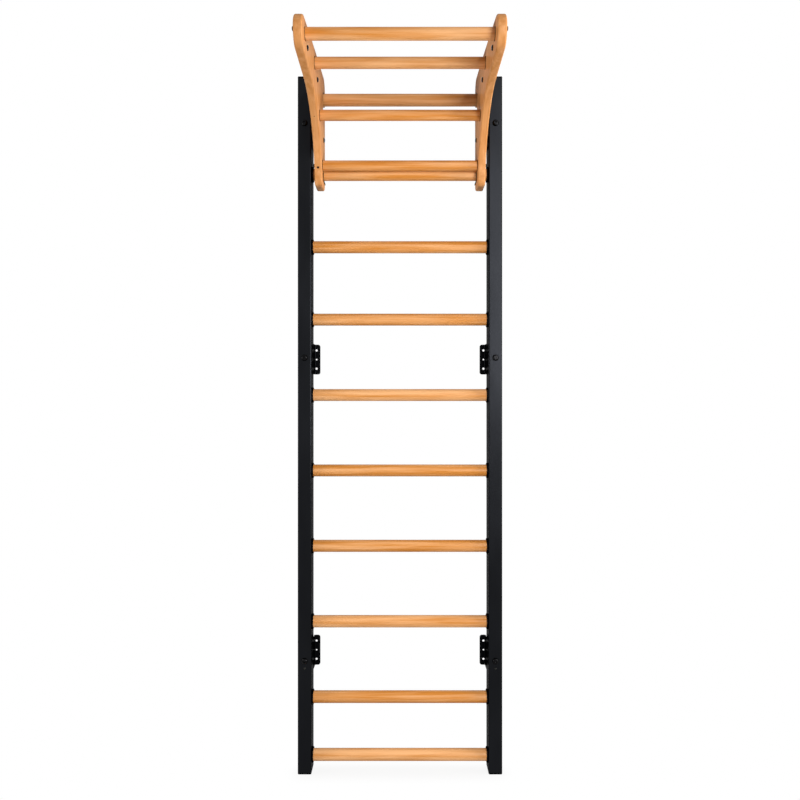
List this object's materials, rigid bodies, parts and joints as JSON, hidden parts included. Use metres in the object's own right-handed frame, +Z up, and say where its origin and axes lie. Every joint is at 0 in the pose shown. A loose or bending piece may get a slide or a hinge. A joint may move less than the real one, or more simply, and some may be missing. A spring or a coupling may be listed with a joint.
{
  "type": "wall bars",
  "caption": "Tall steel-framed wall bars with round wooden rungs between two box uprights on wall brackets, and a wooden pull-up attachment hooked over the top rungs.",
  "frame": {"origin": "on the wall plane, at floor level, midway between the uprights", "axes": "+Z up along the uprights, +Y into the wall, so the front faces -Y, +X to the right seen from the front"},
  "size_m": [0.676, 0.6344, 2.319],
  "materials": {
    "frame_steel": "satin black powder coat",
    "bolt_steel": "black oxide",
    "black_plastic": "fine matt",
    "rung_wood": "clear satin lacquer",
    "plate_wood": "clear satin lacquer"
  },
  "bodies": {
    "wall_frame": {"left_upright": "frame_steel", "left_top_cap": "black_plastic", "left_foot": "black_plastic", "right_upright": "frame_steel", "right_top_cap": "black_plastic", "right_foot": "black_plastic", "rung_01": "rung_wood", "rung_01_left_collar": "black_plastic", "rung_01_right_collar": "black_plastic", "rung_02": "rung_wood", "rung_02_left_collar": "black_plastic", "rung_02_right_collar": "black_plastic", "rung_03": "rung_wood", "rung_03_left_collar": "black_plastic", "rung_03_right_collar": "black_plastic", "rung_04": "rung_wood", "rung_04_left_collar": "black_plastic", "rung_04_right_collar": "black_plastic", "rung_05": "rung_wood", "rung_05_left_collar": "black_plastic", "rung_05_right_collar": "black_plastic", "rung_06": "rung_wood", "rung_06_left_collar": "black_plastic", "rung_06_right_collar": "black_plastic", "rung_07": "rung_wood", "rung_07_left_collar": "black_plastic", "rung_07_right_collar": "black_plastic", "rung_08": "rung_wood", "rung_08_left_collar": "black_plastic", "rung_08_right_collar": "black_plastic", "rung_09": "rung_wood", "rung_09_left_collar": "black_plastic", "rung_09_right_collar": "black_plastic", "rung_10": "rung_wood", "rung_10_left_collar": "black_plastic", "rung_10_right_collar": "black_plastic", "lower_left_bracket": "frame_steel", "lower_left_bracket_bolt": "bolt_steel", "lower_right_bracket": "frame_steel", "lower_right_bracket_bolt": "bolt_steel", "middle_left_bracket": "frame_steel", "middle_left_bracket_bolt": "bolt_steel", "middle_right_bracket": "frame_steel", "middle_right_bracket_bolt": "bolt_steel", "top_left_bracket": "frame_steel", "top_left_bracket_bolt": "bolt_steel", "top_right_bracket": "frame_steel", "top_right_bracket_bolt": "bolt_steel"},
    "pull_up_attachment": {"left_side_plate": "plate_wood", "left_upper_seat_liner": "black_plastic", "left_lower_seat_liner": "black_plastic", "right_side_plate": "plate_wood", "right_upper_seat_liner": "black_plastic", "right_lower_seat_liner": "black_plastic", "front_grip_bar": "rung_wood", "upper_grip_bar": "rung_wood", "middle_grip_bar": "rung_wood", "lower_grip_bar": "rung_wood"}
  },
  "joints": [
    {"name": "attachment_tilt", "type": "hinge", "parent": "wall_frame", "child": "pull_up_attachment", "pos_m": [0, -0.08, 2.242], "axis": [-1, 0, 0], "range_deg": [0, 45]}
  ]
}
